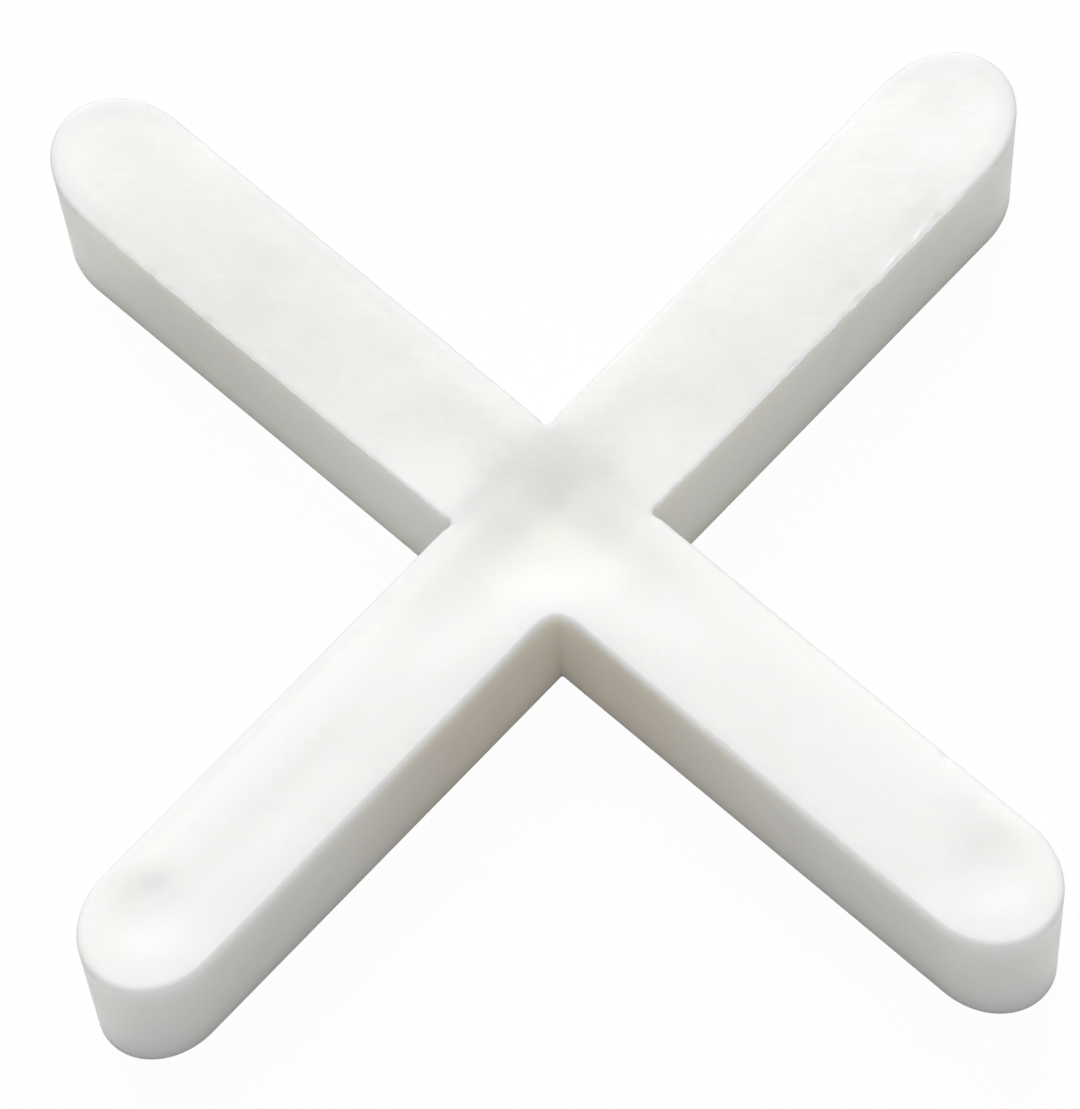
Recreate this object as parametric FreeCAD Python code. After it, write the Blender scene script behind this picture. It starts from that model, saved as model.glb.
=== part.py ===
import FreeCAD, Part
import math
import os

# A cross-shaped spacer for wall and floor tiles, moulded in one piece.
# Origin at the centre of the underside, +Z up, arms along X and Y. Millimetres.

# Driving sizes
joint_width = 3.0           # width of an arm at its upper edge, before that is rounded
arm_reach = 14.0            # centre of the cross to the tip of an arm, at the same edge
height = 4.2                # underside to the upper face
draft_angle = 2.5           # degrees by which every wall leans in towards the underside
tip_length = 1.8            # length of an arm's rounded end, measured along the arm
upper_corner_radius = 0.2   # plan radius where two arms meet, along the upper edge
lower_corner_radius = 0.05  # the same along the underside, where the corner is sharper
top_edge_radius = 0.12      # rounding between the walls and the upper face
centre_hollow_depth = 0.12  # soft hollow that shrinkage leaves over the crossing
end_hollow_depth = 0.03     # shallower hollow at the rounded end of each arm
hollow_land = 0.15          # flat strip left between a hollow and the rounded edge

# Sizes that follow from them
half_width = joint_width / 2
tip_start = arm_reach - tip_length
draft_inset = height * math.tan(math.radians(draft_angle))
flat_inset = top_edge_radius + hollow_land
centre_to_corner = math.sqrt(2) * (half_width + upper_corner_radius) - upper_corner_radius
centre_hollow_radius = centre_to_corner - flat_inset
end_hollow_radius = half_width - flat_inset

up = FreeCAD.Vector(0, 0, 1)
middle = FreeCAD.Vector(0, 0, 0)


def quarter_round(start, corner, end):
    """A quarter of an ellipse from start to end, whose tangents meet at corner."""
    curve = Part.BezierCurve()
    curve.setPoles([start, corner, end])
    curve.setWeight(2, math.sqrt(0.5))
    return curve.toShape()


def arm_edges(z, inset, corner_radius):
    """Outline of the arm along +X and of the inner corner that follows it.

    The edges lie at height z, and inset moves each wall that far into the material.
    The inner corner is a quarter circle that touches the two walls it joins."""
    side = half_width - inset
    tip = arm_reach - inset
    corner_centre = side + corner_radius
    corner_mid = corner_centre - corner_radius * math.sqrt(0.5)

    def at(x, y):
        return FreeCAD.Vector(x, y, z)

    right_wall = Part.LineSegment(at(corner_centre, -side), at(tip_start, -side))
    left_wall = Part.LineSegment(at(tip_start, side), at(corner_centre, side))
    inner_corner = Part.Arc(
        at(corner_centre, side), at(corner_mid, corner_mid), at(side, corner_centre)
    )
    return [
        right_wall.toShape(),
        quarter_round(at(tip_start, -side), at(tip, -side), at(tip, 0)),
        quarter_round(at(tip, 0), at(tip, side), at(tip_start, side)),
        left_wall.toShape(),
        inner_corner.toShape(),
    ]


def cross_outline(z, inset, corner_radius):
    """One arm's edges repeated at every quarter turn, as a closed wire."""
    edges = []
    for quarter in range(4):
        for edge in arm_edges(z, inset, corner_radius):
            edges.append(edge.rotated(middle, up, 90 * quarter))
    return Part.Wire(edges)


def on_true_plane(face):
    """A flat face laid on a plane of its own; a curved face stays as it is."""
    plane = face.findPlane()
    if plane:
        return Part.Face(plane, face.OuterWire)
    return face


def drafted_cross():
    """Straight walls from the smaller underside up to the wider upper outline."""
    underside = cross_outline(0, draft_inset, lower_corner_radius)
    upper_edge = cross_outline(height, 0, upper_corner_radius)
    ruled = Part.makeLoft([underside, upper_edge], True, True)
    skin = Part.makeShell([on_true_plane(face) for face in ruled.Faces])
    skin.sewShape()
    return Part.makeSolid(skin)


def with_rounded_rim(body):
    """Round the whole edge between the walls and the upper face."""
    rim = []
    for edge in body.Edges:
        if min(vertex.Z for vertex in edge.Vertexes) > height - 1e-6:
            rim.append(edge)
    return body.makeFillet(top_edge_radius, rim)


def hollow_cutter(radius, depth):
    """A turned cutter, on the Z axis, for a soft round hollow in the upper face.

    The side of the hollow is two arcs of one radius that meet halfway out and halfway
    up: the lower is level at the middle, the upper runs out level at the full radius.
    Above the face the cutter goes straight up."""
    arc_radius = (radius ** 2 + depth ** 2) / (4 * depth)
    half_turn = math.asin(radius / (2 * arc_radius)) / 2
    step_out = arc_radius * math.sin(half_turn)
    step_up = arc_radius * (1 - math.cos(half_turn))
    floor = height - depth
    above = height + depth

    def at(x, z):
        return FreeCAD.Vector(x, 0, z)

    deepest = at(0, floor)
    halfway = at(radius / 2, floor + depth / 2)
    rim = at(radius, height)
    section = Part.Wire([
        Part.Arc(deepest, at(step_out, floor + step_up), halfway).toShape(),
        Part.Arc(halfway, at(radius - step_out, height - step_up), rim).toShape(),
        Part.LineSegment(rim, at(radius, above)).toShape(),
        Part.LineSegment(at(radius, above), at(0, above)).toShape(),
        Part.LineSegment(at(0, above), deepest).toShape(),
    ])
    return Part.Face(section).revolve(middle, up, 360)


def with_hollows(body):
    """Sink one hollow over the crossing and one at the rounded end of each arm."""
    cutters = [hollow_cutter(centre_hollow_radius, centre_hollow_depth)]
    for quarter in range(4):
        cutter = hollow_cutter(end_hollow_radius, end_hollow_depth)
        cutter.translate(FreeCAD.Vector(tip_start, 0, 0))
        cutters.append(cutter.rotated(middle, up, 90 * quarter))
    return body.cut(cutters)


spacer = with_hollows(with_rounded_rim(drafted_cross()))
if len(spacer.Solids) != 1:
    raise RuntimeError("the spacer is not one solid")
spacer = spacer.Solids[0]

os.makedirs("parts", exist_ok=True)
spacer.exportStep("parts/cross_spacer.step")
print("valid", spacer.isValid())
print("volume", round(spacer.Volume, 3), "mm3")
print("faces", len(spacer.Faces))
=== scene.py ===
import math

import bpy
import numpy as np
from mathutils import Matrix


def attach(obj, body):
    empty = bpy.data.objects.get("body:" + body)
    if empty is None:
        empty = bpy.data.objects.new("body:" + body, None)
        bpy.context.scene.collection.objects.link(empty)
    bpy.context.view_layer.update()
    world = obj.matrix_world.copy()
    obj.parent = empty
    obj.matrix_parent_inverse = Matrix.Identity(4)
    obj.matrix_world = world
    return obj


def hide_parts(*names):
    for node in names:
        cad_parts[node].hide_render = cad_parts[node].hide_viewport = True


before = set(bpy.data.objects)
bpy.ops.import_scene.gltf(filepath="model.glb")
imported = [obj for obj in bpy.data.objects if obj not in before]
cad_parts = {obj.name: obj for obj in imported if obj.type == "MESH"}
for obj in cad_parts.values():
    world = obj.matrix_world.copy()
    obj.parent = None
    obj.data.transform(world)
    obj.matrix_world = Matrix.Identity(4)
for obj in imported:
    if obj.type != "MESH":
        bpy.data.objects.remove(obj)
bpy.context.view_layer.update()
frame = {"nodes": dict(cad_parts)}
print("frame loaded:", ", ".join(frame["nodes"]))

mm = 0.001   # sizes are written in millimetres, Blender works in metres


# Small helpers

def smoothStep(low, high, value):
    # 0 below low, 1 above high, and 3t^2 - 2t^3 in between
    t = np.clip((value - low) / (high - low), 0.0, 1.0)
    return t * t * (3.0 - 2.0 * t)


def addObject(name, data):
    thing = bpy.data.objects.new(name, data)
    bpy.context.scene.collection.objects.link(thing)
    return thing


def emptyTree(owner):
    # The cleared node tree of a material or a world
    owner.use_nodes = True
    owner.node_tree.nodes.clear()
    return owner.node_tree


def newNode(tree, kind, inputs=None, **settings):
    # inputs holds, by a socket's name or number, a plain value or the output that feeds it
    node = tree.nodes.new(kind)
    for key, value in settings.items():
        setattr(node, key, value)
    for key, value in (inputs or {}).items():
        if hasattr(value, "links"):
            tree.links.new(value, node.inputs[key])
        else:
            node.inputs[key].default_value = value
    return node


# The spacer: one moulded cross, with a skin that follows the plan outline

spacer = {
    "name": "moulded_cross",
    "halfWidth": 1.5,        # arm, at the upper edge before rounding
    "reach": 14.0,           # centre to tip, at the same edge
    "height": 4.2,
    "draft": 2.5,            # degrees, walls lean in towards the underside
    "tipLength": 1.8,        # rounded end, along the arm
    "upperCorner": 0.2,      # plan radius where two arms meet, at the top
    "lowerCorner": 0.05,     # the same at the underside
    "rimRadius": 0.12,       # upper edge
    "footRadius": 0.05,      # lower edge, barely broken
    "outermost": 13.9945,    # nothing reaches further out than this

    # How finely the surface is divided
    "cornerSteps": 5,
    "sideSteps": 210,
    "tipSteps": 44,
    "rimSteps": 7,
    "wallSteps": 9,
    "footSteps": 3,
    "wallEnds": (0.012, 0.93),   # shares of the wall's height with one more row each
    "weldDigits": 5,             # points that agree to this many decimals are one

    # The rim is sharp, and full only where two edges meet at the front inner corner
    "rimKept": (0.4, 1.0),       # share of its radius: elsewhere, and along those edges
    "rimChange": (-1.2, 0.3),    # where one gives way to the other, as the smaller of x and -y
    "rimDrop": 2.0,              # how much further down the wall the full rim reaches

    # Fall of the upper face from an arm's middle to its rims: back rims of the far arms and
    # of the near arms, then all front rims
    "crown": (0.005, 0.016, 0.04),
    "crownStart": (1.7, 4.2),        # where it grows, from the crossing outwards
    "crownEnd": (10.8, 12.4, 0.7),   # where it fades towards the tips, and by what share
    "tipFall": 0.015,                # and towards the end of an arm

    # How far each edge wavers: arm, side of it, amount
    "wavers": [("back", 1, 0.022), ("back", -1, 0.010), ("left", -1, 0.020), ("left", 1, 0.010),
               ("right", -1, 0.014), ("right", 1, 0.010), ("front", 1, 0.012), ("front", -1, 0.008)],
    "waverHeights": (3.85, 4.12),    # none below, all of it above
    "waverAcross": (1.34, 1.42),     # the same from an arm's middle outwards
    "waverAlong": (1.7, 2.4, 0.6),   # it grows between the first two, and fades before the end
    "waverStep": 0.16,               # from one random value to the next
    "waverSpread": (0.2, 1.0),       # least and most share of the amount
    "seed": 11,

    # Shrinkage at the crossing: the slope rises, stays and falls with the distance in a
    # rounded square whose corners lie on the arms' middles
    "dish": {
        "slope": 0.085,
        "rise": (0.0, 0.45),
        "fall": (1.25, 2.3),
        "power": 3.0,
        "steps": 239,
    },

    # Upper ends of the inner corners: x, y, how much fuller than the outline, reach
    "cornerFills": [(1.5, -1.5, 0.12, 0.65), (1.5, 1.5, -0.08, 0.32),
                    (-1.5, 1.5, -0.08, 0.32), (-1.5, -1.5, -0.08, 0.32)],

    # Soft hollows in the upper face: x, y, radius along, radius across, turn in degrees, depth
    "sinks": {
        "rightEnd": (12.25, 0.2, 1.35, 1.3, 0.0, 0.039),
        "backEnd": (0.0, 12.2, 1.23, 1.23, 0.0, 0.009),
        "leftEnd": (-12.2, 0.0, 1.23, 1.23, 0.0, 0.008),
        "frontEnd": (-0.25, -12.2, 1.4, 1.3, 90.0, 0.045),
        "rightValley": (2.6, 0.15, 2.6, 1.2, 0.0, 0.03),
        "backValley": (-0.1, 2.2, 2.4, 1.15, 90.0, 0.02),
        "leftValley": (-2.2, 0.15, 2.4, 1.15, 0.0, 0.03),
        "frontValley": (-0.05, -2.6, 2.6, 1.2, 90.0, 0.03),
        "frontGroove": (0.2, -8.4, 4.0, 0.85, 90.0, 0.015),
    },

    # Nicks and small burrs at the edges, in the same way; a burr has a negative depth
    "marks": {
        "nickA": (1.43, 10.55, 0.22, 0.10, 90.0, 0.035),
        "burrA": (1.40, 9.97, 0.20, 0.06, 90.0, -0.025),
        "burrB": (1.40, 9.13, 0.30, 0.06, 90.0, -0.02),
        "nickB": (1.46, 8.0, 0.25, 0.10, 90.0, 0.04),
        "nickC": (1.44, 5.95, 0.16, 0.08, 90.0, 0.03),
        "speck": (-0.18, 5.28, 0.07, 0.06, 0.0, 0.02),
        "nickD": (-10.08, -1.44, 0.20, 0.08, 0.0, 0.015),
        "nickE": (-9.53, -1.45, 0.14, 0.07, 0.0, 0.015),
        "nickF": (-8.43, -1.45, 0.24, 0.08, 0.0, 0.018),
        "nickG": (6.2, -1.43, 0.18, 0.08, 0.0, 0.03),
        "nickH": (9.8, 1.43, 0.30, 0.08, 0.0, 0.03),
    },

    # Lighter and darker patches on the upper face: x, y, radius along, radius across, turn,
    # change of tone, which may be one number or one for each colour. Most are painted light
    # and shade: painted shade at the crossing's hollow, on the far arms, their ends and rims,
    # at the front end's hollow and along edges, and painted highlights on the near arms' ends,
    # at the front inner corner and on the back arm's end
    "clouds": {
        "crossingShade": (-0.2, 0.2, 3.4, 3.4, 0.0, (-0.093, -0.088, -0.102)),
        "crossingRight": (0.92, 0.92, 1.2, 1.0, 45.0, -0.035),
        "crossingLeft": (-0.99, -0.71, 1.2, 1.0, 45.0, -0.03),
        "farCornerRight": (-0.5, 1.63, 0.9, 0.7, 45.0, 0.06),
        "farCornerLeft": (-1.6, 0.42, 0.9, 0.7, 45.0, 0.04),
        "farRimRight": (-1.5, 2.6, 1.8, 0.45, 90.0, -0.06),
        "farRimLeft": (-2.6, 1.5, 1.8, 0.45, 0.0, -0.04),
        "leftShade": (-8.0, 0.0, 9.0, 3.4, 0.0, (-0.11, -0.102, -0.112)),
        "leftNearShade": (-3.0, -0.4, 2.2, 2.0, 0.0, -0.035),
        "leftRimShade": (-6.6, 1.5, 11.0, 0.6, 0.0, (-0.09, -0.085, -0.06)),
        "leftFrontShade": (-9.2, -1.3, 6.0, 0.8, 0.0, -0.045),
        "leftTipShade": (-13.6, 0.9, 2.0, 1.8, 30.0, (-0.06, -0.057, -0.043)),
        "leftMiddle": (-5.2, 0.7, 1.4, 0.9, 0.0, -0.035),
        "backShade": (0.0, 5.0, 9.5, 3.4, 90.0, (-0.085, -0.077, -0.085)),
        "backTipShade": (-0.7, 13.6, 2.0, 1.8, 60.0, (-0.075, -0.07, -0.053)),
        "backRimShade": (-1.5, 8.4, 8.0, 0.6, 90.0, (-0.09, -0.085, -0.06)),
        "backMiddle": (-0.5, 7.9, 2.4, 1.2, 90.0, 0.03),
        "frontRimShade": (-1.5, -7.0, 12.0, 0.5, 90.0, (-0.12, -0.112, -0.08)),
        "rightRimShade": (5.0, 1.5, 4.0, 0.5, 0.0, -0.04),
        "cornerHighlight": (1.7, -1.7, 2.0, 2.0, 0.0, 0.05),
        "backHighlight": (0.38, 11.8, 0.9, 0.6, 45.0, (0.03, 0.035, 0.045)),
        "backTipHighlight": (0.45, 12.9, 0.8, 0.5, 60.0, (0.035, 0.035, 0.05)),
        "backEdgeUpper": (1.12, 10.2, 1.4, 0.5, 90.0, -0.06),
        "backEdgeLower": (1.1, 8.1, 1.2, 0.45, 90.0, -0.045),
        "leftBlotchA": (-8.6, 0.35, 1.3, 0.6, 20.0, -0.04),
        "leftBlotchB": (-8.04, -0.47, 1.2, 0.75, -15.0, -0.03),
        "frontEndShade": (-0.57, -11.58, 0.5, 0.38, 60.0, (-0.085, -0.075, -0.04)),
        "frontEndShadeWide": (-0.85, -11.9, 1.1, 0.7, 60.0, -0.03),
        "frontHighlightStrip": (-0.75, -7.6, 4.6, 0.7, 90.0, (0.075, 0.075, 0.085)),
        "frontTipHighlight": (0.6, -12.3, 2.2, 1.3, 90.0, (0.06, 0.062, 0.085)),
        "frontEdgeHighlight": (0.7, -10.6, 2.6, 0.9, 90.0, 0.05),
        "rightTipHighlight": (12.4, -0.5, 2.2, 1.3, 0.0, (0.058, 0.06, 0.08)),
        "rightEdgeHighlight": (9.6, -0.7, 2.4, 0.8, 0.0, 0.025),
        "rightBlotchA": (10.9, 0.8, 1.5, 0.9, 0.0, (-0.036, -0.042, -0.024)),
        "rightBlotchC": (11.8, 1.0, 0.5, 0.35, 0.0, -0.02),
        "rightHighlight": (9.0, 0.6, 1.6, 0.7, 0.0, (0.035, 0.035, 0.05)),
        "rightMiddle": (8.6, -0.1, 3.0, 1.2, 0.0, 0.035),
    },

    # Painted light and shade that show on the walls alone, in the same way
    "wallLightAndShade": {
        "leftWallNear": (-3.0, -1.5, 2.2, 1.0, 0.0, 0.08),
        "leftWallEnd": (-12.4, -1.4, 1.8, 1.2, 0.0, 0.07),
        "frontWall": (1.5, -5.2, 3.2, 1.5, 90.0, -0.05),
        "frontEndLeft": (-0.9, -13.6, 0.9, 0.9, 0.0, 0.08),
    },

    # Painted light and shade of places, as tones and tints that multiply the plastic's colour
    "shade": {
        "brightest": 1.075,                # nothing lifts a tone above this

        # Painted shade that grows towards the rim of the two far ends
        "endShadeShare": (0.6, 1.0),           # shares of the end's ellipse
        "endShadeAlong": (11.2, 12.6),         # where it grows along the arm
        "endShadeTone": (-0.10, -0.095, -0.08),

        # Painted shade on the back rims and on the rims of the two far ends
        "rimShare": (0.93, 0.975),         # of the arm's half width
        "rimHeights": (3.95, 4.12),
        "rimShadeTone": -0.10,

        # Warmth that light picks up between two facing walls: x, y, radius, then its tone
        "warmPlace": (1.5, -1.5, 9.5),
        "warmTone": (-0.02, -0.085, -0.15),

        # The walls' painted light and shade: a warm tint, painted light on the far walls and more at
        # their foot, painted shade at the near walls' foot, and painted light near the near walls'
        # top and at the feet of their ends
        "wallFade": (0.35, 0.01),          # depths between which the walls' tint fades out
        "wallTint": (1.0, 0.985, 0.955),
        "farSide": (0.6, 1.45),            # where the near walls' shade gives way to the far walls'
        "farLift": (0.035, 0.10),          # how much lighter far walls are, at the top and the foot
        "farFoot": (1.6, (0.27, 0.22, 0.12)),    # below this height, by how much more
        "nearFoot": (0.9, -0.10),          # near walls, below this height
        "nearTop": (3.4, 3.85, 0.07),      # near walls, from which height to which
        "nearEnds": (12.6, 13.6, 2.4, 0.16),     # from where to where along, below which height
    },

    "rubbedFrom": (-1.5, 3.0),   # y - x, from the near arms to the far ones
    "rubbedLeast": 0.3,          # share of the rub marks on the near arms
}


def armPath(s):
    # Outline of the arm along +X, from one inner corner's middle to the next. A point is
    # base + inset * inward + cornerRadius * spread, so one path serves every height:
    # inward is straight across on a wall and towards the end's middle round the tip,
    # and spread keeps an inner corner's arc touching both of its walls.
    half, tipStart = s["halfWidth"], s["reach"] - s["tipLength"]

    turn = np.linspace(0.75 * math.pi, 0.5 * math.pi, s["cornerSteps"] + 1)
    corner = np.tile([half, -half], (len(turn), 1))
    cornerIn = np.tile([-1.0, 1.0], (len(turn), 1))
    cornerSpread = np.array([1.0, -1.0]) + np.stack([np.cos(turn), np.sin(turn)], axis=1)

    share = np.linspace(0.0, 1.0, s["sideSteps"] + 1)[1:]
    left = 1.0 - share
    wall = np.stack([left * half + share * tipStart, np.full_like(share, -half)], axis=1)
    wallIn = np.stack([-left, np.ones_like(share)], axis=1)
    wallSpread = np.stack([left, np.zeros_like(share)], axis=1)

    sweep = np.linspace(-0.5 * math.pi, 0.5 * math.pi, s["tipSteps"] + 1)[1:-1]
    tip = np.stack([tipStart + s["tipLength"] * np.cos(sweep), half * np.sin(sweep)], axis=1)
    tipIn = np.stack([-np.cos(sweep), -np.sin(sweep)], axis=1)

    mirror = np.array([1.0, -1.0])
    parts = []
    for side, end in ((np.concatenate([corner, wall]), tip),
                      (np.concatenate([cornerIn, wallIn]), tipIn),
                      (np.concatenate([cornerSpread, wallSpread]), np.zeros_like(tip))):
        parts.append(np.concatenate([side, end, side[::-1] * mirror]))
    return parts


def armRows(s):
    # Points from an inner corner's middle to where the rounded end starts
    return s["cornerSteps"] + s["sideSteps"] + 1


def wallProfile(s):
    # Section of the wall as inset, height and inner corner radius, from the underside up:
    # a small quarter round, the leaning wall, then the rim's arc, tangent to wall and face.
    lean = math.radians(s["draft"])
    slope = math.tan(lean)
    height, rim, foot = s["height"], s["rimRadius"], s["footRadius"]

    rimInset = rim * (slope + 1.0 / math.cos(lean))
    rimTurn = np.linspace(-lean, 0.5 * math.pi, s["rimSteps"] + 1)
    rimPart = np.stack([rimInset - rim * np.cos(rimTurn),
                        height - rim + rim * np.sin(rimTurn)], axis=1)

    footInset = (height - foot) * slope + foot / math.cos(lean)
    footTurn = np.linspace(-0.5 * math.pi, -lean, s["footSteps"] + 1)
    footPart = np.stack([footInset - foot * np.cos(footTurn),
                         foot + foot * np.sin(footTurn)], axis=1)

    share = np.linspace(0.0, 1.0, s["wallSteps"] + 1)[1:-1]
    lowest, highest = s["wallEnds"]
    share = np.concatenate([[lowest], share, [highest]])[:, None]
    wallPart = footPart[-1] + share * (rimPart[0] - footPart[-1])
    inset, z = np.concatenate([footPart, wallPart, rimPart]).T
    corner = s["lowerCorner"] + (s["upperCorner"] - s["lowerCorner"]) * z / height
    corner = corner + inset - (height - z) * slope
    return np.stack([inset, z, corner], axis=1)


def rimScale(s, x, y):
    # Share of the rim's radius that is kept at a place of the outline
    sharp, full = s["rimKept"]
    return sharp + (full - sharp) * smoothStep(*s["rimChange"], np.minimum(x, -y))


def capGrid(s, path, inset, cornerRadius):
    # Plan of one arm's flat face as rows across the arm. Row 0 is the mitre x = |y|,
    # the last row is the rounded end, and the rows between bend from one to the other:
    # x = side's x + (1 - w) * (|q| - 1) * mitre + w * bulge, y = q * side's y.
    base, inward, spread = (part[:armRows(s)] for part in path)
    side = base + inset * inward + cornerRadius * spread
    sweep = np.linspace(-0.5 * math.pi, 0.5 * math.pi, s["tipSteps"] + 1)
    q = np.sin(sweep)
    bulge = (s["tipLength"] - inset) * np.cos(sweep)
    w = (side[:, 0:1] - side[0, 0]) / (side[-1, 0] - side[0, 0])
    x = side[:, 0:1] + (1.0 - w) * (np.abs(q) - 1.0) * side[0, 0] + w * bulge
    y = -side[:, 1:2] * q
    return np.stack([x, y], axis=2)


def gridFaces(rows, columns, start, closed=False):
    # Quads of a rows x columns grid of vertices; closed joins the last row to the first
    i = np.arange(rows if closed else rows - 1)[:, None]
    j = np.arange(columns - 1)[None, :]
    here = i * columns + j
    ahead = ((i + 1) % rows) * columns + j
    return start + np.stack([here, ahead, ahead + 1, here + 1], axis=2).reshape(-1, 4)


def softPatch(x, y, patch):
    # The amount at the middle of an ellipse and 0 from its edge on: two equal arcs in r,
    # the distance in radii, level at both ends and meeting halfway
    cx, cy, along, across, turn, amount = patch
    c, sn = math.cos(math.radians(turn)), math.sin(math.radians(turn))
    u = ((x - cx) * c + (y - cy) * sn) / along
    v = ((y - cy) * c - (x - cx) * sn) / across
    r = np.minimum(np.sqrt(u * u + v * v), 1.0)
    return amount * np.where(r < 0.5, 1.0 - 2.0 * r * r, 2.0 * (1.0 - r) ** 2)


def dishDepth(d, x, y):
    # Depth of the dish at the crossing: the running sum of its slope, from outside in
    reach = np.linspace(0.0, d["fall"][1], d["steps"] + 1)
    slope = d["slope"] * smoothStep(*d["rise"], reach) * (1.0 - smoothStep(*d["fall"], reach))
    fallen = np.cumsum(slope) * (reach[1] - reach[0])
    u, v = np.abs(x - y) / math.sqrt(2.0), np.abs(x + y) / math.sqrt(2.0)
    distance = (u ** d["power"] + v ** d["power"]) ** (1.0 / d["power"])
    return fallen[-1] - np.interp(distance, reach, fallen)


def armPlace(s, x, y):
    # Distances along and across the nearest arm, how much of its rounded end is passed, from
    # 0 to 1, and whether the place is on the arm's back half
    along, across = np.maximum(np.abs(x), np.abs(y)), np.minimum(np.abs(x), np.abs(y))
    past = np.maximum(along - s["reach"] + s["tipLength"], 0.0) / s["tipLength"]
    back = np.where(np.abs(x) > np.abs(y), y, -x) > 0.0
    return along, across, past, back


def upperRelief(s, x, y):
    # How far the upper face lies below its full height: hollows, marks, and a crown that
    # grows with the square of the distance from the arm's middle, measured in half widths
    along, across, past, back = armPlace(s, x, y)
    farBack, nearBack, front = s["crown"]
    fall = np.where(back, np.where(y > x, farBack, nearBack), front)
    crown = s["tipFall"] * past ** 2 + fall * (across / s["halfWidth"]) ** 2
    fadeStart, fadeEnd, fade = s["crownEnd"]
    crown = crown * (1.0 - fade * smoothStep(fadeStart, fadeEnd, along))
    relief = dishDepth(s["dish"], x, y) + crown * smoothStep(*s["crownStart"], along)
    for patch in list(s["sinks"].values()) + list(s["marks"].values()):
        relief = relief + softPatch(x, y, patch)
    return np.maximum(relief, 0.0)


def fillCorners(s, points):
    # Moves the walls of an inner corner along its diagonal, more the higher they are
    x, y, z = points.T
    for cx, cy, amount, reach in s["cornerFills"]:
        near = softPatch(x, y, (cx, cy, reach, reach, 0.0, amount)) * (z / s["height"]) ** 2
        points[:, 0] += near * math.copysign(math.sqrt(0.5), cx)
        points[:, 1] += near * math.copysign(math.sqrt(0.5), cy)


def waverEdges(s, points):
    # Moves the rounded edges in and out by a smooth random line along each of them
    random = np.random.default_rng(s["seed"])
    x, y, z = points.T.copy()
    begin, full, fade = s["waverAlong"]
    tipStart = s["reach"] - s["tipLength"]
    count = int(s["reach"] / s["waverStep"]) + 2
    axes = {"right": (1, 0), "back": (0, 1), "left": (-1, 0), "front": (0, -1)}
    for arm, side, amount in s["wavers"]:
        ax, ay = axes[arm]
        along, across = x * ax + y * ay, (y * abs(ax) + x * abs(ay)) * side
        values = random.uniform(-1.0, 1.0, count) * random.uniform(*s["waverSpread"], count)
        place = np.maximum(along / s["waverStep"], 0.0)
        index = place.astype(int)
        t = smoothStep(0.0, 1.0, place - index)
        line = values[index] * (1.0 - t) + values[index + 1] * t
        weight = smoothStep(*s["waverHeights"], z) * smoothStep(*s["waverAcross"], across)
        weight = weight * smoothStep(begin, full, along)
        weight = weight * (1.0 - smoothStep(tipStart - fade, tipStart, along))
        push = amount * line * weight * side
        points[:, 0] += push * abs(ay)
        points[:, 1] += push * abs(ax)


def underStrips(s, path, inset, cornerRadius):
    # The flat underside of one arm: strips from both sides to the middle line, and a fan
    # of triangles round the end; they share only the outline's points with the walls
    rows = armRows(s)
    base, inward, spread = (part[:rows + s["tipSteps"]] for part in path)
    edge = base + inset * inward + cornerRadius * spread
    side, tip = edge[:rows], edge[rows - 1:]
    w = (side[:, 0] - side[0, 0]) / (side[-1, 0] - side[0, 0])
    middle = np.column_stack([w * side[-1, 0], np.zeros(rows)])
    mirror = np.array([1.0, -1.0])
    points = np.concatenate([side, middle, side * mirror, tip])
    i, j = np.arange(rows - 1), np.arange(s["tipSteps"])
    right = np.stack([rows + i, rows + i + 1, i + 1, i], axis=1)
    left = np.stack([2 * rows + i, 2 * rows + i + 1, rows + i + 1, rows + i], axis=1)
    centre, rim = 2 * rows - 1, 3 * rows
    fan = np.stack([np.full_like(j, centre), rim + j + 1, rim + j], axis=1)
    return points, np.concatenate([right, left]), fan


def footShare(top, z):
    # 1 at the underside and 0 from the height top on
    return 1.0 - smoothStep(0.0, top, z)


def upperTone(s, x, y, z):
    # Lighter and darker patches, most of them painted light and shade, with painted shade at
    # the far ends and on the back rims, one tone per colour
    shade = s["shade"]
    along, across, past, back = armPlace(s, x, y)
    farArm = y > x
    outward = np.hypot(past, across / s["halfWidth"])   # 1 on the edge of an arm and its end
    tone = np.ones((len(x), 3))
    for cloud in s["clouds"].values():
        tone += softPatch(x, y, cloud[:5] + (1.0,))[:, None] * np.array(cloud[5])
    endShade = smoothStep(*shade["endShadeShare"], outward) * smoothStep(*shade["endShadeAlong"], along) * farArm
    tone += endShade[:, None] * np.array(shade["endShadeTone"])
    rim = smoothStep(*shade["rimShare"], outward) * smoothStep(*shade["rimHeights"], z)
    tone += (rim * (back | ((past > 0.0) & farArm)) * shade["rimShadeTone"])[:, None]
    return np.minimum(tone, shade["brightest"])


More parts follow.
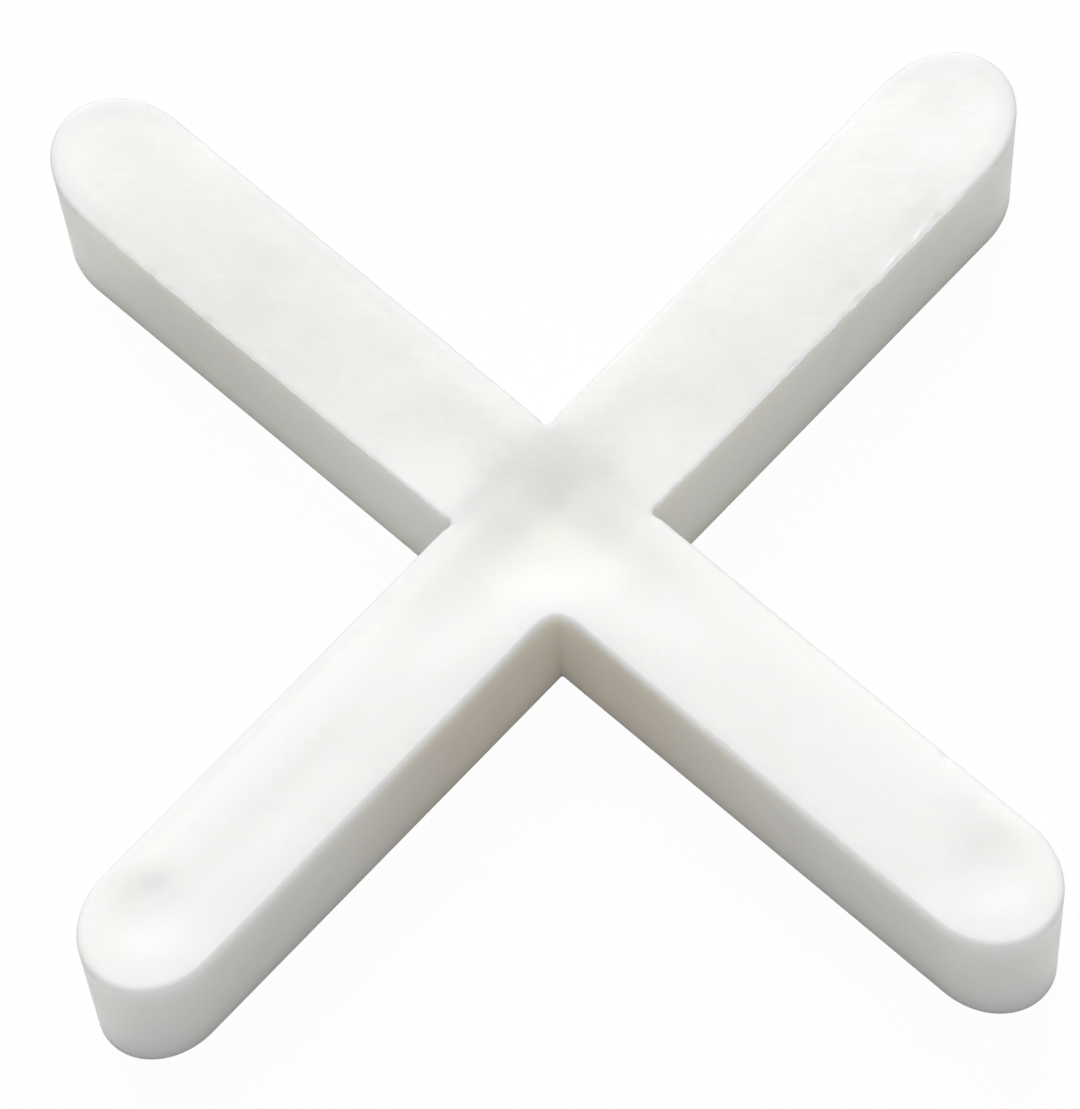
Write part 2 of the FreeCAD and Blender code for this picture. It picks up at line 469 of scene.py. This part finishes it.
def wallTone(s, x, y, z):
    # Painted light and shade of the walls: a warm tint, warmth and shade between the facing walls
    # of the front inner corner, and painted light and shade that change with the height, for the
    # near walls, their ends and the far walls
    shade = s["shade"]
    cx, cy, reach = shade["warmPlace"]
    warm = softPatch(x, y, (cx, cy, reach, reach, 0.0, 1.0)) * (x > 0.0) * (y < 0.0)

    low, amount = shade["nearFoot"]
    nearLift = amount * footShare(low, z)
    start, full, amount = shade["nearTop"]
    nearLift = nearLift + amount * smoothStep(start, full, z)
    start, full, low, amount = shade["nearEnds"]
    nearLift = nearLift + amount * smoothStep(start, full, np.maximum(x, -y)) * footShare(low, z)

    far = smoothStep(*shade["farSide"], np.maximum(-x, y))
    top, foot = shade["farLift"]
    farLift = top + (foot - top) * (1.0 - z / s["height"])
    low, amount = shade["farFoot"]
    farFoot = (far * footShare(low, z))[:, None] * np.array(amount)

    lift = nearLift + far * (farLift - nearLift)
    for cloud in s["wallLightAndShade"].values():
        lift = lift + softPatch(x, y, cloud)
    change = warm[:, None] * np.array(shade["warmTone"])
    return np.array(shade["wallTint"]) * (1.0 + change + lift[:, None] + farFoot)


def shadeColours(s, points):
    # Colour multiplier of each point, with painted light and shade: the upper face's tone,
    # times the walls' below it
    x, y, z = points.T
    brightest, fade = s["shade"]["brightest"], s["shade"]["wallFade"]
    wall = (1.0 - smoothStep(s["height"] - fade[0], s["height"] - fade[1], z))[:, None]
    colour = upperTone(s, x, y, z) * (1.0 - wall + wall * wallTone(s, x, y, z))
    colour = colour * np.minimum(1.0, brightest / colour.max(axis=1, keepdims=True))
    return np.column_stack([colour, np.ones(len(points))])


def wallSurface(s, path, profile, turns):
    # The profile carried round the whole outline, as (path, profile, xyz). The rim's part
    # shrinks towards the sharp edge that it rounds off, edge + share * (point - edge), and
    # where it is full it reaches further down the wall, by the factor drop.
    around = [np.concatenate([part[:-1] @ t for t in turns])[:, None, :] for part in path]
    inset, z, corner = (column[None, :, None] for column in profile.T)
    plan = around[0] + inset * around[1] + corner * around[2]
    edge = around[0] + s["upperCorner"] * around[2]
    onRim = np.arange(len(profile))[None, :, None] >= len(profile) - s["rimSteps"] - 1
    share = np.where(onRim, rimScale(s, edge[..., 0:1], edge[..., 1:2]), 1.0)
    sharp, full = s["rimKept"]
    drop = 1.0 + (s["rimDrop"] - 1.0) * np.clip((share - sharp) / (full - sharp), 0.0, 1.0)
    drop = np.where(onRim, drop, 1.0)
    plan, level = edge + share * (plan - edge), s["height"] + share * drop * (z - s["height"])
    return np.concatenate([plan, level], axis=2)


def buildSpacer(s):
    path, profile = armPath(s), wallProfile(s)
    turns = [np.array(t) for t in ([[1, 0], [0, 1]], [[0, 1], [-1, 0]],
                                   [[-1, 0], [0, -1]], [[0, -1], [1, 0]])]

    walls = wallSurface(s, path, profile, turns)
    points = [walls.reshape(-1, 3)]
    faces = [gridFaces(walls.shape[0], walls.shape[1], 0, closed=True)]
    count = len(points[0])

    # Upper face: one grid per arm, whose border follows the rim
    top, bottom = profile[-1], profile[0]
    grid, sharpGrid = capGrid(s, path, top[0], top[2]), capGrid(s, path, 0.0, s["upperCorner"])
    border = np.zeros(grid.shape[:2] + (1,), dtype=bool)
    border[:, 0], border[:, -1], border[-1, :] = True, True, True
    for t in turns:
        flat, edge = grid @ t, sharpGrid @ t
        share = rimScale(s, edge[..., 0:1], edge[..., 1:2])
        flat = np.where(border, edge + share * (flat - edge), flat).reshape(-1, 2)
        points.append(np.column_stack([flat, np.full(len(flat), top[1])]))
        faces.append(gridFaces(grid.shape[0], grid.shape[1], count))
        count += len(flat)

    # Underside
    strips, quads, fan = underStrips(s, path, bottom[0], bottom[2])
    fans = []
    for t in turns:
        points.append(np.column_stack([strips @ t, np.full(len(strips), bottom[1])]))
        faces.append(quads + count)
        fans.append(fan + count)
        count += len(strips)

    # Weld the shared edges
    points, faces, fans = (np.concatenate(parts) for parts in (points, faces, fans))
    _, first, index = np.unique(np.round(points, s["weldDigits"]), axis=0,
                                return_index=True, return_inverse=True)
    points, index = points[first], index.reshape(-1)
    faces = index[faces].tolist() + index[fans].tolist()
    triangles = 2 * len(faces) - len(fans)

    fillCorners(s, points)
    waverEdges(s, points)
    points[:, :2] = np.clip(points[:, :2], -s["outermost"], s["outermost"])

    # The relief fades out down the rim
    x, y, z = points.T
    rimShare = smoothStep(s["height"] - s["rimRadius"] * rimScale(s, x, y), s["height"], z)
    points[:, 2] = z - rimShare * upperRelief(s, x, y)

    mesh = bpy.data.meshes.new(s["name"])
    mesh.from_pydata((points * mm).tolist(), [], faces)
    mesh.polygons.foreach_set("use_smooth", np.ones(len(faces), dtype=bool))
    # The shade attribute carries each point's painted light and shade into the base colour
    shade = mesh.attributes.new("shade", "FLOAT_COLOR", "POINT")
    shade.data.foreach_set("color", shadeColours(s, points).astype(np.float32).ravel())
    rubbed = mesh.attributes.new("rubbed", "FLOAT", "POINT")
    farArms = smoothStep(*s["rubbedFrom"], points[:, 1] - points[:, 0])
    rub = s["rubbedLeast"] + (1.0 - s["rubbedLeast"]) * farArms
    rubbed.data.foreach_set("value", rub.astype(np.float32))
    mesh.update()
    print(s["name"], "has", len(points), "points and", triangles, "triangles")
    return addObject(s["name"], mesh)


cross = buildSpacer(spacer)


# White plastic: translucent, cloudy inside, with a fine rubbed surface

plastic = {
    "bright": (0.985, 0.985, 0.968, 1.0),
    "grey": (0.845, 0.845, 0.823, 1.0),
    "roughness": 0.33,
    "roughnessSpread": 0.12,
    "depth": 0.6,            # how far light travels inside, in millimetres
    "depthTint": (1.0, 0.9, 0.78),
    "cloudSize": 1.5,        # millimetres
    "cloudStrength": 0.55,
    "cloudDetail": 3.0,
    "cloudRoughness": 0.55,
    "blotchSize": 0.65,
    "blotchStrength": 0.25,
    "mottleSize": 0.28,
    "mottleStrength": 0.45,
    "rubAngle": 42.5,        # degrees from +X, the way the face was rubbed
    "rubLength": 1.6,
    "rubWidth": 0.07,
    "rubStrength": 0.32,
    "rubDetail": 2.0,
    "scratchTurn": 4.0,      # degrees away from the rub marks
    "scratchLength": 0.9,
    "scratchWidth": 0.035,
    "scratchFrom": (0.66, 0.74),
    "scratchStrength": 0.12,
    "bumpHeight": 0.0022,    # millimetres
    "rubBump": 0.35,
    "cutWidth": 0.045,

    # Single scratches in the upper face: x and y of both ends, change of the mix
    "cuts": [(-0.87, 10.01, -0.39, 10.53, 0.25), (-0.30, 10.44, 0.36, 11.07, 0.2),
             (-0.19, 12.64, 0.47, 12.96, 0.22), (-0.25, 12.52, 0.40, 12.84, -0.15),
             (-9.12, -0.65, -9.0, -0.52, 0.3), (-7.75, -0.12, -7.65, 0.0, 0.25),
             (-11.54, 0.28, -11.29, 0.41, -0.2), (-4.9, 0.5, -4.4, 1.0, -0.15)],
}


def newGroup(name, inputs, output):
    # inputs has a number's default, or None for a vector; the output is a number
    group = bpy.data.node_groups.new(name, "ShaderNodeTree")
    for label, value in inputs.items():
        kind = "NodeSocketVector" if value is None else "NodeSocketFloat"
        socket = group.interface.new_socket(name=label, in_out="INPUT", socket_type=kind)
        if value is not None:
            socket.default_value = value
    group.interface.new_socket(name=output, in_out="OUTPUT", socket_type="NodeSocketFloat")
    return group, newNode(group, "NodeGroupInput").outputs


def mathNode(tree, operation, first, second, **settings):
    node = newNode(tree, "ShaderNodeMath", {0: first, 1: second}, operation=operation, **settings)
    return node.outputs[0]


def vectorNode(tree, operation, first, second, output="Vector"):
    node = newNode(tree, "ShaderNodeVectorMath", {0: first, 1: second}, operation=operation)
    return node.outputs[output]


def scaledNode(tree, vector, scale):
    node = newNode(tree, "ShaderNodeVectorMath", {0: vector, "Scale": scale}, operation="SCALE")
    return node.outputs["Vector"]


def colourMix(tree, blend, factor, first, second):
    # A Mix node has sockets for each kind of data: 6 and 7 take colours, and 2 puts one out
    node = newNode(tree, "ShaderNodeMix", {"Factor": factor, 6: first, 7: second},
                   data_type="RGBA", blend_type=blend)
    return node.outputs[2]


def makeCloudGroup(p):
    # Soft clouds, 0 to 1 around 0.5, of the given size in millimetres
    group, start = newGroup("softClouds", {"Place": None, "Size": 1.0}, "Cloud")
    scale = mathNode(group, "DIVIDE", 1.0, start["Size"])
    noise = newNode(group, "ShaderNodeTexNoise", {
        "Vector": start["Place"], "Scale": scale,
        "Detail": p["cloudDetail"], "Roughness": p["cloudRoughness"]})
    newNode(group, "NodeGroupOutput", {"Cloud": noise.outputs["Fac"]})
    return group


def makeRubGroup(p):
    # Streaks along one direction: noise that is stretched that way before it is read
    group, start = newGroup("rubbedStreaks", {"Place": None, "Angle": 0.0, "Length": 2.0,
                                              "Width": 0.1}, "Streak")
    back = mathNode(group, "MULTIPLY", start["Angle"], math.radians(-1.0))
    turned = newNode(group, "ShaderNodeVectorRotate", {"Vector": start["Place"], "Angle": back},
                     rotation_type="Z_AXIS")
    size = newNode(group, "ShaderNodeCombineXYZ", {"X": start["Length"], "Y": start["Width"],
                                                   "Z": start["Width"]})
    stretched = vectorNode(group, "DIVIDE", turned.outputs[0], size.outputs[0])
    noise = newNode(group, "ShaderNodeTexNoise", {
        "Vector": stretched, "Scale": 1.0, "Detail": p["rubDetail"]})
    newNode(group, "NodeGroupOutput", {"Streak": noise.outputs["Fac"]})
    return group


def makeCutGroup():
    # 1 on the line between two points, 0 from the given width on: the point's offset from
    # the line's start, less its share along the line, leaves the distance to the line
    group, start = newGroup("scratchLine", {"Place": None, "From": None, "To": None,
                                            "Width": 0.05}, "Line")
    along = vectorNode(group, "SUBTRACT", start["To"], start["From"])
    offset = vectorNode(group, "SUBTRACT", start["Place"], start["From"])
    share = mathNode(group, "DIVIDE", vectorNode(group, "DOT_PRODUCT", offset, along, "Value"),
                     vectorNode(group, "DOT_PRODUCT", along, along, "Value"), use_clamp=True)
    away = vectorNode(group, "DISTANCE", offset, scaledNode(group, along, share), "Value")
    fade = newNode(group, "ShaderNodeMapRange", {
        "Value": away, "From Min": 0.0, "From Max": start["Width"], "To Min": 1.0, "To Max": 0.0},
        interpolation_type="SMOOTHSTEP")
    newNode(group, "NodeGroupOutput", {"Line": fade.outputs["Result"]})
    return group


def makePlastic(p):
    material = bpy.data.materials.new("whitePlastic")
    tree = emptyTree(material)
    clouds, rubs, cutLine = makeCloudGroup(p), makeRubGroup(p), makeCutGroup()

    # Object coordinates in millimetres
    where = newNode(tree, "ShaderNodeTexCoord")
    place = scaledNode(tree, where.outputs["Object"], 1.0 / mm)

    def pattern(group, **values):
        return newNode(tree, "ShaderNodeGroup", dict(values, Place=place), node_tree=group).outputs[0]

    def plus(first, second):
        return mathNode(tree, "ADD", first, second)

    def times(first, second):
        return mathNode(tree, "MULTIPLY", first, second)

    def centred(value, strength):
        return times(mathNode(tree, "SUBTRACT", value, 0.5), strength)

    shade = newNode(tree, "ShaderNodeAttribute", attribute_name="shade").outputs["Color"]
    rubbed = newNode(tree, "ShaderNodeAttribute", attribute_name="rubbed").outputs["Fac"]
    cloud = pattern(clouds, Size=p["cloudSize"])
    blotch = pattern(clouds, Size=p["blotchSize"])
    mottle = pattern(clouds, Size=p["mottleSize"])
    rub = pattern(rubs, Angle=p["rubAngle"], Length=p["rubLength"], Width=p["rubWidth"])
    line = pattern(rubs, Angle=p["rubAngle"] + p["scratchTurn"],
                   Length=p["scratchLength"], Width=p["scratchWidth"])

    # Thin lines show only where their noise peaks
    lowest, highest = p["scratchFrom"]
    scratch = newNode(tree, "ShaderNodeMapRange", {
        "Value": line, "From Min": lowest, "From Max": highest}).outputs["Result"]
    streaks = plus(centred(rub, p["rubStrength"]), times(scratch, p["scratchStrength"]))
    streaks = times(streaks, rubbed)
    for x0, y0, x1, y1, strength in p["cuts"]:
        cut = pattern(cutLine, From=(x0, y0, spacer["height"]), To=(x1, y1, spacer["height"]),
                      Width=p["cutWidth"])
        streaks = plus(streaks, times(cut, strength))

    blotches = plus(centred(cloud, p["cloudStrength"]), centred(blotch, p["blotchStrength"]))
    blotches = plus(blotches, times(centred(mottle, p["mottleStrength"]), rubbed))

    # Halfway between the two colours where nothing shows, times the shade of the place
    level = plus(plus(blotches, streaks), 0.5)
    mixed = colourMix(tree, "MIX", level, p["grey"], p["bright"])
    relief = plus(mottle, times(rub, p["rubBump"]))
    bump = newNode(tree, "ShaderNodeBump", {"Distance": p["bumpHeight"] * mm, "Height": relief})
    skin = newNode(tree, "ShaderNodeBsdfPrincipled", {
        "Base Color": colourMix(tree, "MULTIPLY", 1.0, mixed, shade),
        "Roughness": plus(centred(mottle, p["roughnessSpread"]), p["roughness"]),
        "Normal": bump.outputs["Normal"],
        "Subsurface Weight": 1.0,
        "Subsurface Radius": p["depthTint"],
        "Subsurface Scale": p["depth"] * mm})
    newNode(tree, "ShaderNodeOutputMaterial", {"Surface": skin.outputs["BSDF"]})
    return material


cross.data.materials.append(makePlastic(plastic))
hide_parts("cross_spacer")
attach(cross, "root")
print("spacer finished")


# Floor and surroundings

studio = {
    "floorSize": 3.0,        # metres
    "floorLevel": -0.00002,  # metres, a hair below the spacer, so that the two don't coincide
    "floorColour": (0.82, 0.82, 0.81, 1.0),
    "floorShadow": 0.035,    # how much of the shadow the camera sees
    "skyLevel": 0.44,
    "skyColour": (0.98, 0.99, 1.0, 1.0),
    "seenColour": (1.0, 1.0, 1.0, 1.0),
}


def rayMix(tree, rays, usual, seen):
    # The shader that light meets, and another one for the kinds of ray that are named
    path = newNode(tree, "ShaderNodeLightPath").outputs
    share = path[rays[0]]
    for ray in rays[1:]:
        share = mathNode(tree, "MAXIMUM", share, path[ray])
    pick = newNode(tree, "ShaderNodeMixShader", {
        "Fac": share, 1: usual.outputs[0], 2: seen.outputs[0]})
    return pick.outputs[0]


def makeFloor(s):
    half, level = s["floorSize"] / 2, s["floorLevel"]
    mesh = bpy.data.meshes.new("floor")
    mesh.from_pydata([(-half, -half, level), (half, -half, level), (half, half, level),
                      (-half, half, level)], [], [(0, 1, 2, 3)])
    addObject("floor", mesh)

    # The camera sees a white floor with a faint shadow, and light meets a pale one
    material = bpy.data.materials.new("paleFloor")
    tree = emptyTree(material)
    pale = newNode(tree, "ShaderNodeBsdfDiffuse", {"Color": s["floorColour"]})
    faint = newNode(tree, "ShaderNodeBsdfDiffuse", {"Color": (s["floorShadow"],) * 3 + (1.0,)})
    glow = newNode(tree, "ShaderNodeEmission", {"Strength": 1.0 - s["floorShadow"]})
    seen = newNode(tree, "ShaderNodeAddShader", {0: faint.outputs[0], 1: glow.outputs[0]})
    newNode(tree, "ShaderNodeOutputMaterial", {
        "Surface": rayMix(tree, ["Is Camera Ray"], pale, seen)})
    mesh.materials.append(material)


def makeWorld(s):
    world = bpy.data.worlds.new("studio")
    bpy.context.scene.world = world
    tree = emptyTree(world)

    # The sky gives the light, and the rays that are named see white
    sky = newNode(tree, "ShaderNodeBackground", {"Color": s["skyColour"], "Strength": s["skyLevel"]})
    white = newNode(tree, "ShaderNodeBackground", {"Color": s["seenColour"], "Strength": 1.0})
    rays = ["Is Camera Ray", "Is Glossy Ray", "Is Transmission Ray"]
    newNode(tree, "ShaderNodeOutputWorld", {"Surface": rayMix(tree, rays, sky, white)})


makeFloor(studio)
makeWorld(studio)


# Camera, at the place from which the outline was matched

camera = {
    "azimuth": 47.398,       # degrees round from looking along +Y
    "elevation": 66.525,
    "roll": -5.318,
    "distance": 317.04,      # millimetres
    "offset": (-0.395, 0.877),
    "focal": 14910.68,       # in pixels of a picture 1109 high
    "pictureHeight": 1109.0,
    "sensor": 36.0,
    "clip": (0.01, 20.0),    # metres
}


def cameraAxes(c):
    # right, up and back as world directions: turned round, lifted, then rolled
    turn, lift, roll = (math.radians(c[key]) for key in ("azimuth", "elevation", "roll"))
    back = np.array([math.sin(turn) * math.cos(lift), -math.cos(turn) * math.cos(lift),
                     math.sin(lift)])
    level = np.array([math.cos(turn), math.sin(turn), 0.0])
    upright = np.cross(back, level)
    right = level * math.cos(roll) + upright * math.sin(roll)
    up = -level * math.sin(roll) + upright * math.cos(roll)
    return right, up, back


def makeCamera(c):
    right, up, back = cameraAxes(c)
    place = back * c["distance"] + right * c["offset"][0] + up * c["offset"][1]
    matrix = np.eye(4)
    matrix[:3] = np.column_stack([right, up, back, place * mm])
    data = bpy.data.cameras.new("camera")
    data.sensor_width = c["sensor"]
    data.lens = c["focal"] / c["pictureHeight"] * c["sensor"]
    data.clip_start, data.clip_end = c["clip"]
    thing = addObject("camera", data)
    thing.matrix_world = Matrix(matrix.tolist())
    bpy.context.scene.camera = thing


makeCamera(camera)


# One large soft lamp beyond the spacer and above it

lamp = {
    "toward": (-0.60, 0.47, 0.95),
    "distance": 0.9,         # metres, as the size
    "size": 0.5,
    "power": 5.2,            # watts
    "colour": (1.0, 0.995, 0.985),
}


def makeLamp(s):
    data = bpy.data.lights.new("key", "AREA")
    data.shape = "SQUARE"
    data.size = s["size"]
    data.energy = s["power"]
    data.color = s["colour"]
    thing = addObject("key", data)
    thing.location = np.array(s["toward"]) / np.linalg.norm(s["toward"]) * s["distance"]
    thing.rotation_euler = thing.location.to_track_quat("Z", "Y").to_euler()


makeLamp(lamp)

bpy.context.scene.view_settings.view_transform = "Standard"
print("stage, camera and lamps ready")
